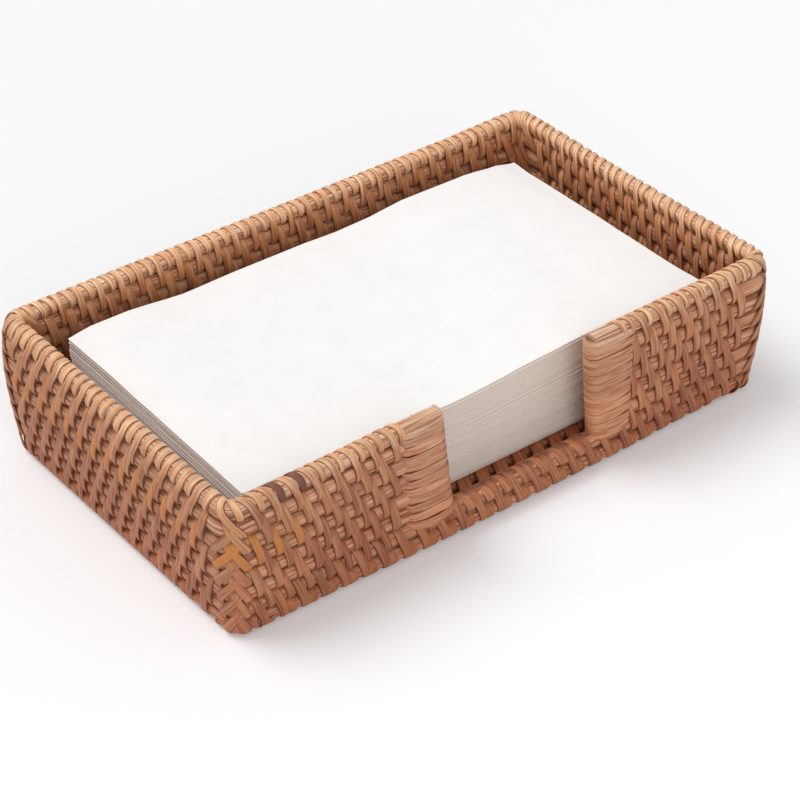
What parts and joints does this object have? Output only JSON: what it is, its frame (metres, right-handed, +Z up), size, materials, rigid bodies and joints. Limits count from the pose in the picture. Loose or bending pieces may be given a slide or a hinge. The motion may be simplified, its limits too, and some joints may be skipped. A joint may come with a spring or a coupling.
{
  "type": "napkin holder",
  "caption": "Open rectangular tray of coiled rattan with a low notch in its front wall, holding a stack of folded paper napkins that lifts out.",
  "frame": {"origin": "middle of the underside of the tray, on the table", "axes": "+X along the long front wall, +Y from the notched front wall to the back, +Z up"},
  "size_m": [0.25, 0.149, 0.0599],
  "materials": {
    "rattan_rod": "matte",
    "rattan_strip": "satin",
    "post_strip": "satin",
    "napkin_paper": "matte"
  },
  "bodies": {
    "tray": {"rim_rod": "rattan_rod", "wall_rod_2": "rattan_rod", "wall_rod_3": "rattan_rod", "wall_rod_4": "rattan_rod", "wall_rod_5": "rattan_rod", "wall_rod_6": "rattan_rod", "sill_rod": "rattan_rod", "foot_rod": "rattan_rod", "base_border_rod": "rattan_rod", "base_rods": "rattan_rod", "rim_wraps": "rattan_strip", "lacing_1": "rattan_strip", "lacing_2": "rattan_strip", "lacing_3": "rattan_strip", "lacing_4": "rattan_strip", "lacing_5": "rattan_strip", "lacing_6": "rattan_strip", "lacing_7": "rattan_strip", "sill_wraps": "rattan_strip", "base_edge_lacing": "rattan_strip", "base_lacing": "rattan_strip", "corner_lacing_front_right": "rattan_strip", "corner_lacing_back_right": "rattan_strip", "corner_lacing_back_left": "rattan_strip", "corner_lacing_front_left": "rattan_strip", "foot_corner_lacing": "rattan_strip", "left_post_binding": "post_strip", "right_post_binding": "post_strip"},
    "napkins": {"napkin_stack": "napkin_paper"},
    "first_napkin": {"top_napkin": "napkin_paper"}
  },
  "joints": [
    {"name": "stack_lift", "type": "slide", "parent": "tray", "child": "napkins", "axis": [0, 0, 1], "range_m": [0, 0.06]},
    {"name": "first_napkin_lift", "type": "slide", "parent": "napkins", "child": "first_napkin", "axis": [0, 0, 1], "range_m": [0, 0.06]}
  ]
}
